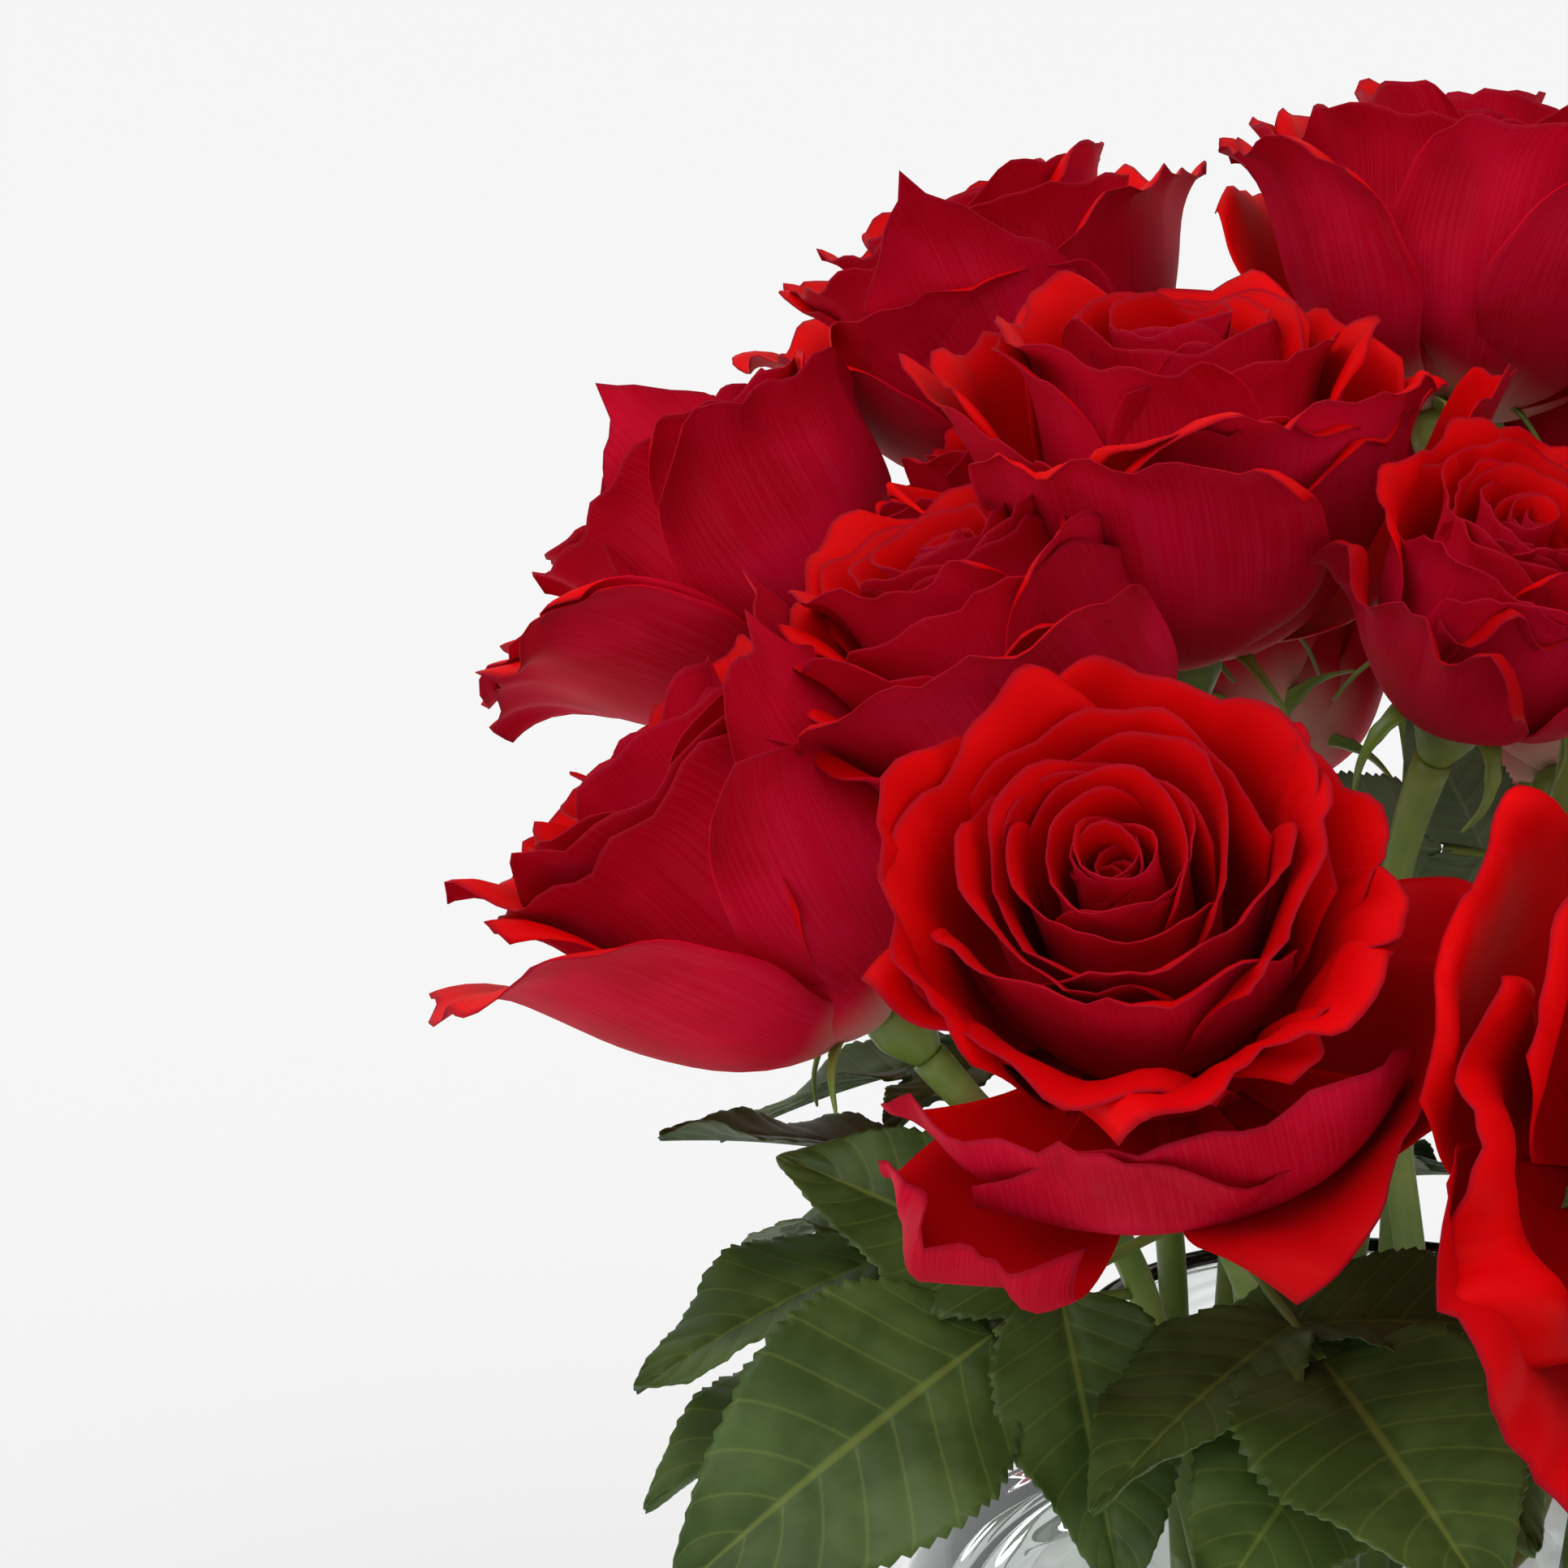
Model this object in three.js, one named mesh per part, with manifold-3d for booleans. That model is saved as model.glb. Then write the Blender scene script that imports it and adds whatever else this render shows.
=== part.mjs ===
// A round glass bowl vase with water, holding a dome of red roses on leafy stems.
// Millimetres, +Z up. The origin is the centre of the vase's flat base. -Y is the front.
import * as THREE from "three";
import { mergeVertices } from "three/addons/utils/BufferGeometryUtils.js";
import Module from "manifold-3d";

const wasm = await Module();
wasm.setup();

// Vase: a bubble bowl, a sphere cut off flat below and open above.
const bowlRadius = 100;
const baseRadius = 46;
const mouthRadius = 60;
const glassWall = 3.2;
const glassFloor = 8;
const waterLevel = 118;
const glassSegments = 30;
const wetSteps = 7;
const gap = 0.35;

// Bouquet: the dome that the blooms lie on.
const domeHeight = 252;
const bloomDepth = 58;
const hipRadius = 6;
const hipLength = 13;
const stemRadius = 2.9;
const stemSides = 5;
const stemSteps = 9;

// Stems stand in a spiral: each crosses the bowl from its foot to the mouth, turned by stemTwist.
const stemTwist = 68;
const footClearance = 1.5;
const rimClearance = 15;
const footInset = 6;
const ringSpacing = 19;
const outerRing = { mouth: mouthRadius - rimClearance, foot: baseRadius - footInset };
const innerRing = { mouth: outerRing.mouth - ringSpacing, foot: outerRing.foot - ringSpacing };
const centreRing = { mouth: 3, foot: 4 };

const sepalLength = 26;
const sepalDroop = 15;
const sepalWidth = 7;
const leafThickness = 1.3;
const petioleRadius = 1.2;
const leafAngle = 44;
const leafRoom = { height: 83.2081, width: 60 };

// One row for each rose: where its bloom lies (azimuth from the front towards +X, elevation, distance
// from the dome's centre), where it faces (azimuth, elevation), its radius, its ring of stems, and the
// azimuth at which its stem passes the mouth.
const roses = [
  { name: "front", at: [-29, 12, 130], faces: [-14, 44], radius: 45, ring: outerRing, mouth: -30 },
  { name: "front_right", at: [17, -2, 130], faces: [28, 28], radius: 50, ring: outerRing, mouth: 14 },
  { name: "left", at: [-72, 8, 124], faces: [-96, 50], radius: 55, ring: outerRing, mouth: -78 },
  { name: "left_back", at: [-110, 25, 147], faces: [-112, 42], radius: 46, ring: outerRing, mouth: -122 },
  { name: "upper_front", at: [-62, 59, 101], faces: [-30, 78], radius: 50, ring: innerRing, mouth: -38 },
  { name: "inner_left", at: [-62, 34, 108], faces: [-75, 60], radius: 44, ring: innerRing, mouth: -78 },
  { name: "upper_right", at: [8, 52, 98], faces: [30, 62], radius: 33, ring: innerRing, mouth: 8 },
  { name: "top_left", at: [-138, 45, 150], faces: [-100, 68], radius: 47, ring: innerRing, mouth: -136 },
  { name: "top", at: [158, 75, 127], faces: [150, 82], radius: 49, ring: centreRing, mouth: 150 },
  { name: "crown_left", at: [-109, 50, 101], faces: [-100, 66], radius: 42, ring: innerRing, mouth: -109 },
  { name: "right_front", at: [62, 13, 122], faces: [62, 32], radius: 46, ring: outerRing, mouth: 58 },
  { name: "right", at: [106, 15, 122], faces: [106, 30], radius: 46, ring: outerRing, mouth: 102 },
  { name: "back_right", at: [150, 12, 122], faces: [150, 32], radius: 46, ring: outerRing, mouth: 146 },
  { name: "back_left", at: [-171, 15, 122], faces: [-168, 32], radius: 46, ring: outerRing, mouth: -168 },
  { name: "low_back_left", at: [-141, 2, 114], faces: [-141, 18], radius: 40, ring: outerRing, mouth: -146 },
  { name: "upper_side", at: [57, 47, 118], faces: [62, 58], radius: 44, ring: innerRing, mouth: 56 },
  { name: "upper_back_right", at: [104, 47, 118], faces: [112, 58], radius: 44, ring: innerRing, mouth: 101 },
  { name: "upper_back", at: [143, 46, 122], faces: [162, 60], radius: 44, ring: innerRing, mouth: 142 },
  { name: "upper_back_left", at: [-178, 43, 122], faces: [-150, 60], radius: 42, ring: innerRing, mouth: -173 },
];

// One row for each leaf: the stem it grows on, how far up the stem (0 at the mouth, 1 at the hip), its
// way out (azimuth, elevation), how much it arches down, its length, and its turn about its stalk.
const leaves = [
  { name: "leaf_low_left", stem: "left", along: 0.16, way: [-64, 8], droop: 30, length: 100 },
  { name: "leaf_front", stem: "front", along: 0.41, way: [12, -4], droop: 2, length: 111, tilt: 14 },
  { name: "leaf_under_front", stem: "left", along: 0.48, way: [-88, 19], droop: 7, length: 76, tilt: 8 },
  { name: "leaf_left_upper", stem: "left", along: 0.55, way: [-64, 0], droop: 18, length: 86 },
  { name: "leaf_front_low", stem: "front", along: 0.54, way: [-55, -5], droop: 28, length: 112, tilt: -46 },
  { name: "leaf_neck_front", stem: "front_right", along: 0.39, way: [-36, 5], droop: 29, length: 91, tilt: -17 },
  { name: "leaf_neck_right", stem: "right", along: 0.62, way: [82, 16], droop: 20, length: 60 },
  { name: "leaf_neck_gap", stem: "upper_side", along: 0.82, way: [-108, 5], droop: 5, length: 62, tilt: 87 },
  { name: "leaf_neck_back", stem: "back_left", along: 0.6, way: [170, 18], droop: 20, length: 60 },
  { name: "leaf_right_front", stem: "right_front", along: 0.12, way: [44, 16], droop: 42, length: 104 },
  { name: "leaf_right_low", stem: "right_front", along: 0.4, way: [76, 8], droop: 34, length: 84 },
  { name: "leaf_right", stem: "right", along: 0.1, way: [100, 14], droop: 40, length: 106 },
  { name: "leaf_right_back", stem: "right", along: 0.38, way: [124, 4], droop: 30, length: 84 },
  { name: "leaf_back_right", stem: "back_right", along: 0.1, way: [146, 14], droop: 42, length: 104 },
  { name: "leaf_back", stem: "back_right", along: 0.4, way: [172, 8], droop: 30, length: 86 },
  { name: "leaf_back_left", stem: "back_left", along: 0.12, way: [-170, 14], droop: 42, length: 104 },
  { name: "leaf_left_back", stem: "left_back", along: 0.12, way: [-128, 12], droop: 40, length: 104 },
  { name: "leaf_left_behind", stem: "left_back", along: 0.42, way: [-104, 0], droop: 24, length: 80 },
];

const bowlCentre = Math.sqrt(bowlRadius ** 2 - baseRadius ** 2);
const rimHeight = bowlCentre + Math.sqrt(bowlRadius ** 2 - mouthRadius ** 2);
const innerRadius = bowlRadius - glassWall;
const domeCentre = new THREE.Vector3(0, 0, domeHeight);

// Leaf lengths go with the room between the rim and the dome, and with the mouth. A neck with less room
// bends more tightly: its tube takes more steps, and its leaves stand further off the stem.
const neckShare = (domeHeight - rimHeight) / leafRoom.height;
const leafShare = (neckShare * mouthRadius) / leafRoom.width;
const vertical = new THREE.Vector3(0, 0, 1);

// A unit vector from azimuth and elevation in degrees.
function direction(azimuth, elevation) {
  const a = THREE.MathUtils.degToRad(azimuth);
  const e = THREE.MathUtils.degToRad(elevation);
  return new THREE.Vector3(Math.sin(a) * Math.cos(e), -Math.cos(a) * Math.cos(e), Math.sin(e));
}

// The turn that carries +Z to a unit vector.
function turnTo(axis) {
  return new THREE.Quaternion().setFromUnitVectors(new THREE.Vector3(0, 0, 1), axis);
}

// A closed geometry as a manifold-3d solid, and back.
function toSolid(geometry) {
  const bare = geometry.clone();
  bare.deleteAttribute("normal");
  bare.deleteAttribute("uv");
  const merged = mergeVertices(bare, 1e-3);
  const triVerts = new Uint32Array(merged.index.array);
  const vertProperties = new Float32Array(merged.attributes.position.array);
  return new wasm.Manifold(new wasm.Mesh({ numProp: 3, vertProperties, triVerts }));
}

function toGeometry(solid) {
  const mesh = solid.getMesh();
  const geometry = new THREE.BufferGeometry();
  geometry.setAttribute("position", new THREE.BufferAttribute(mesh.vertProperties, 3));
  geometry.setIndex(new THREE.BufferAttribute(mesh.triVerts, 1));
  geometry.computeVertexNormals();
  return geometry;
}

// Moves every vertex of a geometry with a function of its position.
function reshape(geometry, move) {
  const position = geometry.attributes.position;
  const point = new THREE.Vector3();
  for (let i = 0; i < position.count; i++) {
    move(point.fromBufferAttribute(position, i));
    position.setXYZ(i, point.x, point.y, point.z);
  }
  return geometry;
}

// A profile of [radius, height] turned about Z. LatheGeometry turns about Y, so it is stood up.
function turned(profile, segments) {
  const points = profile.map(([radius, height]) => new THREE.Vector2(radius, height));
  return new THREE.LatheGeometry(points, segments).rotateX(Math.PI / 2);
}

// Points on the bowl's round wall at one radius, from one height to another.
function wallArc(radius, from, to, count) {
  const start = Math.asin((from - bowlCentre) / radius);
  const end = Math.asin((to - bowlCentre) / radius);
  return Array.from({ length: count + 1 }, (_, i) => {
    const angle = start + ((end - start) * i) / count;
    return [radius * Math.cos(angle), bowlCentre + radius * Math.sin(angle)];
  });
}

function vaseGeometry() {
  const outer = wallArc(bowlRadius, 0, rimHeight, 8);
  const wet = wallArc(innerRadius, glassFloor, waterLevel, wetSteps);
  const dry = wallArc(innerRadius, waterLevel, rimHeight, 3).slice(1);
  const inner = [...wet, ...dry].reverse();
  const rimTop = [(outer.at(-1)[0] + inner[0][0]) / 2, rimHeight + glassWall / 3];
  return turned([[0, 0], ...outer, rimTop, ...inner, [0, glassFloor]], glassSegments);
}

// The water fills the bowl to its level, with a hole for each stem.
function waterGeometry(paths) {
  const floor = glassFloor + gap;
  const profile = [[0, floor], ...wallArc(innerRadius - gap, floor, waterLevel, wetSteps), [0, waterLevel]];
  let water = toSolid(turned(profile, glassSegments));
  const holeRadius = (stemRadius + gap) / Math.cos(Math.PI / stemSides);
  for (const path of paths) {
    const hole = new THREE.CylinderGeometry(holeRadius, holeRadius, path.straight, stemSides);
    hole.rotateX(Math.PI / 2).translate(0, 0, path.straight / 2 - 4 * footClearance);
    hole.applyQuaternion(turnTo(path.rise)).translate(...path.foot.toArray());
    water = water.subtract(toSolid(hole));
  }
  return toGeometry(water);
}

// Where a rose's bloom sits on its hip, where it faces, and its bloom's middle.
function placeRose(rose) {
  const facing = direction(...rose.faces);
  const [azimuth, elevation, distance] = rose.at;
  const middle = direction(azimuth, elevation).multiplyScalar(distance).add(domeCentre);
  const seat = middle.clone().addScaledVector(facing, -bloomDepth / 2);
  return { ...rose, facing, middle, seat };
}

// A stem's route: straight from its foot to the mouth, then a curve that meets the bloom head on.
function stemPath(rose) {
  const turn = (angle, radius, height) =>
    direction(angle, 0).multiplyScalar(radius).setZ(height);
  const foot = turn(rose.mouth + stemTwist, rose.ring.foot, glassFloor + footClearance);
  const mouth = turn(rose.mouth, rose.ring.mouth, rimHeight);
  const rise = mouth.clone().sub(foot).normalize();
  const neck = rose.seat.clone().addScaledVector(rose.facing, -hipLength);
  const reach = mouth.distanceTo(neck) * 0.42;
  const bend = new THREE.CubicBezierCurve3(
    mouth,
    mouth.clone().addScaledVector(rise, reach),
    neck.clone().addScaledVector(rose.facing, -reach),
    neck,
  );
  const route = new THREE.CurvePath();
  route.add(new THREE.LineCurve3(foot, mouth));
  route.add(bend);
  return { foot, mouth, rise, neck, bend, route, straight: foot.distanceTo(mouth) };
}

// A tube of a regular section along a curve.
function tube(curve, radius, sides, steps) {
  const section = new THREE.Shape(
    Array.from({ length: sides }, (_, i) => {
      const angle = (2 * Math.PI * i) / sides;
      return new THREE.Vector2(radius * Math.cos(angle), radius * Math.sin(angle));
    }),
  );
  return new THREE.ExtrudeGeometry(section, { steps, extrudePath: curve, bevelEnabled: false });
}

// A sepal: a flat pointed blade from the hip's shoulder that bends out and down.
function sepalGeometry(angle) {
  const blade = new THREE.ConeGeometry(sepalWidth / 2, sepalLength, 4, 2).rotateZ(-Math.PI / 2);
  blade.translate(sepalLength / 2, 0, 0);
  reshape(blade, (p) => {
    const share = p.x / sepalLength;
    p.z *= 0.4;
    p.z -= sepalDroop * share ** 1.5;
    p.x = p.x * (1 - 0.12 * share) + hipRadius * 0.5;
  });
  return blade.translate(0, 0, -hipLength * 0.42).rotateZ(angle);
}

// A stem with its hip and five sepals, in one piece.
function stemGeometry(rose, path) {
  let solid = toSolid(tube(path.route, stemRadius, stemSides, Math.round(stemSteps / neckShare)));
  const hip = new THREE.SphereGeometry(1, 6, 4).rotateX(Math.PI / 2);
  hip.scale(hipRadius, hipRadius, hipLength * 0.55).translate(0, 0, -hipLength * 0.55 - gap);
  const green = [hip];
  for (let i = 0; i < 5; i++) green.push(sepalGeometry((2 * Math.PI * (i + 0.3)) / 5));
  for (const piece of green) {
    piece.applyQuaternion(turnTo(rose.facing)).translate(...rose.seat.toArray());
    solid = solid.add(toSolid(piece));
  }
  return toGeometry(solid);
}

// A bloom: a cup of whorls about its axis. Each ring of the profile has five lobes.
function bloomGeometry(rose) {
  const rings = [
    // radius share, height share, lobe size, lobe turn
    [0, 0, 0, 0],
    [0.1, 0, 0, 0],
    [0.52, 0.2, 0.03, 0],
    [0.82, 0.52, 0.08, 0],
    [1, 0.84, 0.13, 0],
    [0.86, 0.97, 0.1, 0.3],
    [0.66, 0.86, 0.08, 0.8],
    [0.44, 1.0, 0.1, 1.4],
    [0, 0.92, 0, 0],
  ];
  const profile = rings.map(([radius, height]) => [radius * rose.radius, height * bloomDepth]);
  const bloom = turned(profile, 15);
  return reshape(bloom, (p) => {
    const radius = Math.hypot(p.x, p.y);
    const [share, , size, turn] = rings.reduce((best, ring, i) => {
      const off = Math.hypot(radius - profile[i][0], p.z - profile[i][1]);
      return off < best[4] ? [...ring, off] : best;
    }, [0, 0, 0, 0, Infinity]);
    if (share === 0) return;
    const lobe = size * Math.cos(5 * Math.atan2(p.y, p.x) + turn);
    p.x *= 1 + lobe;
    p.y *= 1 + lobe;
    p.z += lobe * bloomDepth * 0.35;
  });
}

// The planes that bound a bloom, as a unit vector out from its middle and the distance to stop at: one
// halfway to every other bloom, and one short of every point along the other roses' stems and hips.
function boundsOf(rose, others, paths) {
  const bounds = [];
  const stopAt = (target, share, clear) => {
    const across = target.clone().sub(rose.middle);
    const distance = across.length();
    bounds.push({ across: across.divideScalar(distance), limit: distance * share - clear });
  };
  for (const other of others) {
    stopAt(other.middle, rose.radius / (rose.radius + other.radius), gap / 2);
    const { bend, neck } = paths.get(other.name);
    for (const point of bend.getPoints(12)) stopAt(point, 1, stemRadius + 2 * gap);
    stopAt(neck.clone().addScaledVector(other.facing, hipLength / 2), 1, hipRadius + 2 * gap);
  }
  return bounds;
}

// Blooms press flat against each other: each vertex is drawn in towards its bloom's middle until it is
// in bounds.
function crowd(geometry, middle, bounds) {
  return reshape(geometry, (p) => {
    const out = p.clone().sub(middle);
    let keep = 1;
    for (const { across, limit } of bounds) {
      const reach = out.dot(across);
      if (reach > limit) keep = Math.min(keep, limit / reach);
    }
    p.copy(middle).addScaledVector(out, keep);
  });
}

// A leaflet: a pointed plate folded along its midrib, arched along its length, from the origin along +X.
function leafletGeometry(length, width) {
  const outline = new THREE.Shape();
  outline.moveTo(0, -0.6);
  outline.quadraticCurveTo(length * 0.3, -width * 0.72, length * 0.62, -width * 0.34);
  outline.lineTo(length, 0);
  outline.lineTo(length * 0.62, width * 0.34);
  outline.quadraticCurveTo(length * 0.3, width * 0.72, 0, 0.6);
  const settings = { depth: leafThickness, curveSegments: 2, bevelEnabled: false };
  const plate = new THREE.ExtrudeGeometry(outline, settings);
  return reshape(plate.translate(0, 0, -leafThickness / 2), (p) => {
    p.z += 0.16 * Math.abs(p.y) - (0.14 * p.x * p.x) / length;
  });
}

// A compound leaf: a stalk with a pair of leaflets and one at its end, held in one piece.
function leafGeometry(leaf, stem) {
  const length = leaf.length * leafShare;
  const at = leaf.along * 0.9;
  const root = stem.bend.getPoint(at);
  const tangent = stem.bend.getTangent(at);
  const way = direction(...leaf.way);
  const out = way.clone().addScaledVector(tangent, -way.dot(tangent)).normalize();
  const least = THREE.MathUtils.degToRad(leafAngle) / neckShare ** 0.3;
  if (way.angleTo(tangent) < least) {
    way.copy(tangent).multiplyScalar(Math.cos(least)).addScaledVector(out, Math.sin(least));
  }
  const start = root.clone().addScaledVector(out, stemRadius + petioleRadius + gap);
  const stalk = length * 0.42;
  const fall = Math.tan(THREE.MathUtils.degToRad(leaf.droop)) * stalk * 0.35;
  const end = start.clone().addScaledVector(way, stalk).add(new THREE.Vector3(0, 0, -fall));
  const middle = start.clone().lerp(end, 0.5).add(new THREE.Vector3(0, 0, fall * 0.35));
  const curve = new THREE.QuadraticBezierCurve3(start, middle, end);
  let solid = toSolid(tube(curve, petioleRadius, 4, 2));
  const tilt = THREE.MathUtils.degToRad(leaf.tilt ?? 0);
  const place = (geometry, share, turn) => {
    const stalkWay = curve.getTangent(share);
    const level = new THREE.Vector3().crossVectors(vertical, stalkWay).normalize();
    const side = level.applyAxisAngle(stalkWay, tilt);
    const up = new THREE.Vector3().crossVectors(stalkWay, side);
    const along = stalkWay.applyAxisAngle(up, turn);
    const across = new THREE.Vector3().crossVectors(up, along);
    const frame = new THREE.Matrix4().makeBasis(along, across, up).setPosition(curve.getPoint(share));
    solid = solid.add(toSolid(geometry.applyMatrix4(frame)));
  };
  place(leafletGeometry(length * 0.62, length * 0.42), 0.98, 0);
  for (const sign of [-1, 1]) {
    place(leafletGeometry(length * 0.46, length * 0.32), 0.72, sign * 1.1);
  }
  return toGeometry(solid);
}

function finish(color, roughness, opacity = 1) {
  return new THREE.MeshStandardMaterial({ color, roughness, opacity, transparent: opacity < 1 });
}

const finishes = {
  petals: finish(0xb4001c, 0.55),
  stem: finish(0x5c7030, 0.5),
  leaf: finish(0x35501f, 0.45),
  glass: finish(0xe8f0ee, 0.03, 0.3),
  water: finish(0xdde8e6, 0.02, 0.4),
};

function named(name, geometry, finish) {
  const mesh = new THREE.Mesh(geometry, finish);
  mesh.name = name;
  return mesh;
}

const bouquet = new THREE.Group();
const placed = roses.map(placeRose);
const paths = new Map(placed.map((rose) => [rose.name, stemPath(rose)]));

bouquet.add(named("vase", vaseGeometry(), finishes.glass));
bouquet.add(named("water", waterGeometry([...paths.values()]), finishes.water));
for (const rose of placed) {
  const others = placed.filter((other) => other !== rose);
  const bloom = bloomGeometry(rose).applyQuaternion(turnTo(rose.facing)).translate(...rose.seat.toArray());
  crowd(bloom, rose.middle, boundsOf(rose, others, paths));
  bouquet.add(named("bloom_" + rose.name, bloom, finishes.petals));
  bouquet.add(named("stem_" + rose.name, stemGeometry(rose, paths.get(rose.name)), finishes.stem));
}
for (const leaf of leaves) {
  bouquet.add(named(leaf.name, leafGeometry(leaf, paths.get(leaf.stem)), finishes.leaf));
}

export default bouquet;
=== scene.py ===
# A dome of red roses in a round glass bowl vase of water, on a pale studio floor.
# Lengths are in metres and +Z is up. The front of the bouquet faces -Y.
import math

import bpy
import numpy as np
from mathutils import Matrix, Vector


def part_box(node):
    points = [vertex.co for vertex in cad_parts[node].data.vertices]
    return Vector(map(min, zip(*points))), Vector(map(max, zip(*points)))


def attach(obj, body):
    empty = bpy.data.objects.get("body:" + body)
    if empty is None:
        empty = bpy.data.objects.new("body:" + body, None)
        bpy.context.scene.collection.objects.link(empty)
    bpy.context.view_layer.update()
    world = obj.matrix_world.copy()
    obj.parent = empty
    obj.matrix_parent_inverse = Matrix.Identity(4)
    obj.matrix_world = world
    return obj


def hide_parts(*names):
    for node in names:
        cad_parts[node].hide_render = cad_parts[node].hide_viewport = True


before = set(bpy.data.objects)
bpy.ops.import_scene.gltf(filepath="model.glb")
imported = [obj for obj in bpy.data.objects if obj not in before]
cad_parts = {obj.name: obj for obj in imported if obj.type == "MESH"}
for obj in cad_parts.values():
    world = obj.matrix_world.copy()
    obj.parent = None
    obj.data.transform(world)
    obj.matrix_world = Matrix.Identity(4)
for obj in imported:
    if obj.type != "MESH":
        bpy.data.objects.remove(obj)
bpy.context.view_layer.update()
chance = np.random.default_rng(11)
mm = 0.001
goldenAngle = 137.5  # degrees between one petal and the next

vaseLow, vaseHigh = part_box("vase")

bouquet = {
    "domeHeight": 252 * mm,  # the height that the blooms fan out from
    "bloomDepth": 58 * mm,  # from the hip to the middle of the rim
    "hipLength": 13 * mm,
    "hipRadius": 6 * mm,
    "stemRadius": 2.9 * mm,
    "stemTwist": 68,  # degrees between a stem's place at the mouth and its foot
    "mouthHeight": vaseHigh[2] - 1.1 * mm,
    "footHeight": 9.5 * mm,
}

# radius at the mouth and at the foot of the three rings of stems
rings = {"outer": (45 * mm, 40 * mm), "inner": (26 * mm, 21 * mm), "centre": (3 * mm, 4 * mm)}

# Each rose: azimuth from the front towards +X, elevation and distance from the dome's centre; the azimuth and
# elevation that it faces; its radius; its ring and place at the mouth; how open it is; its turn about its own
# axis; and where it differs from the rest, its number of petals, its random seed and its sepals' droop.
roses = {
    "front": dict(
        at=(-29, 12, 130), faces=(-14, 44), radius=45, ring="outer", mouth=-30,
        open=0.22, turn=20, petals=20, sepals=105,
    ),
    "front_right": dict(
        at=(17, -2, 130), faces=(28, 28), radius=50, ring="outer",
        mouth=14, open=0.7, turn=75,
    ),
    "left": dict(
        at=(-72, 8, 124), faces=(-96, 50), radius=55, ring="outer",
        mouth=-78, open=0.75, turn=140,
    ),
    "left_back": dict(
        at=(-110, 25, 147), faces=(-112, 42), radius=46, ring="outer",
        mouth=-122, open=0.75, turn=0,
    ),
    "upper_front": dict(
        at=(-62, 59, 101), faces=(-30, 78), radius=50, ring="inner",
        mouth=-38, open=0.6, turn=50,
    ),
    "inner_left": dict(
        at=(-62, 34, 108), faces=(-75, 60), radius=44, ring="inner",
        mouth=-78, open=0.6, turn=10,
    ),
    "upper_right": dict(
        at=(8, 52, 98), faces=(30, 62), radius=33, ring="inner", mouth=8,
        open=0.35, turn=80, seed=7, sepals=120,
    ),
    "top_left": dict(
        at=(-138, 45, 150), faces=(-100, 68), radius=47, ring="inner",
        mouth=-136, open=0.7, turn=30,
    ),
    "top": dict(
        at=(158, 75, 127), faces=(150, 82), radius=49, ring="centre",
        mouth=150, open=0.75, turn=10,
    ),
    "crown_left": dict(
        at=(-109, 50, 101), faces=(-100, 66), radius=42, ring="inner",
        mouth=-109, open=0.75, turn=40,
    ),
    "right_front": dict(
        at=(62, 13, 122), faces=(62, 32), radius=46, ring="outer",
        mouth=58, open=0.6, turn=33,
    ),
    "right": dict(
        at=(106, 15, 122), faces=(106, 30), radius=46, ring="outer",
        mouth=102, open=0.75, turn=61,
    ),
    "back_right": dict(
        at=(150, 12, 122), faces=(150, 32), radius=46, ring="outer",
        mouth=146, open=0.6, turn=95,
    ),
    "back_left": dict(
        at=(-171, 15, 122), faces=(-168, 32), radius=46, ring="outer",
        mouth=-168, open=0.7, turn=15,
    ),
    "low_back_left": dict(
        at=(-141, 2, 114), faces=(-141, 18), radius=40, ring="outer",
        mouth=-146, open=0.4, turn=44,
    ),
    "upper_side": dict(
        at=(57, 47, 118), faces=(62, 58), radius=44, ring="inner",
        mouth=56, open=0.65, turn=71,
    ),
    "upper_back_right": dict(
        at=(104, 47, 118), faces=(112, 58), radius=44, ring="inner",
        mouth=101, open=0.55, turn=12,
    ),
    "upper_back": dict(
        at=(143, 46, 122), faces=(162, 60), radius=44, ring="inner",
        mouth=142, open=0.7, turn=38,
    ),
    "upper_back_left": dict(
        at=(-178, 43, 122), faces=(-150, 60), radius=42, ring="inner",
        mouth=-173, open=0.6, turn=83,
    ),
}

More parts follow.
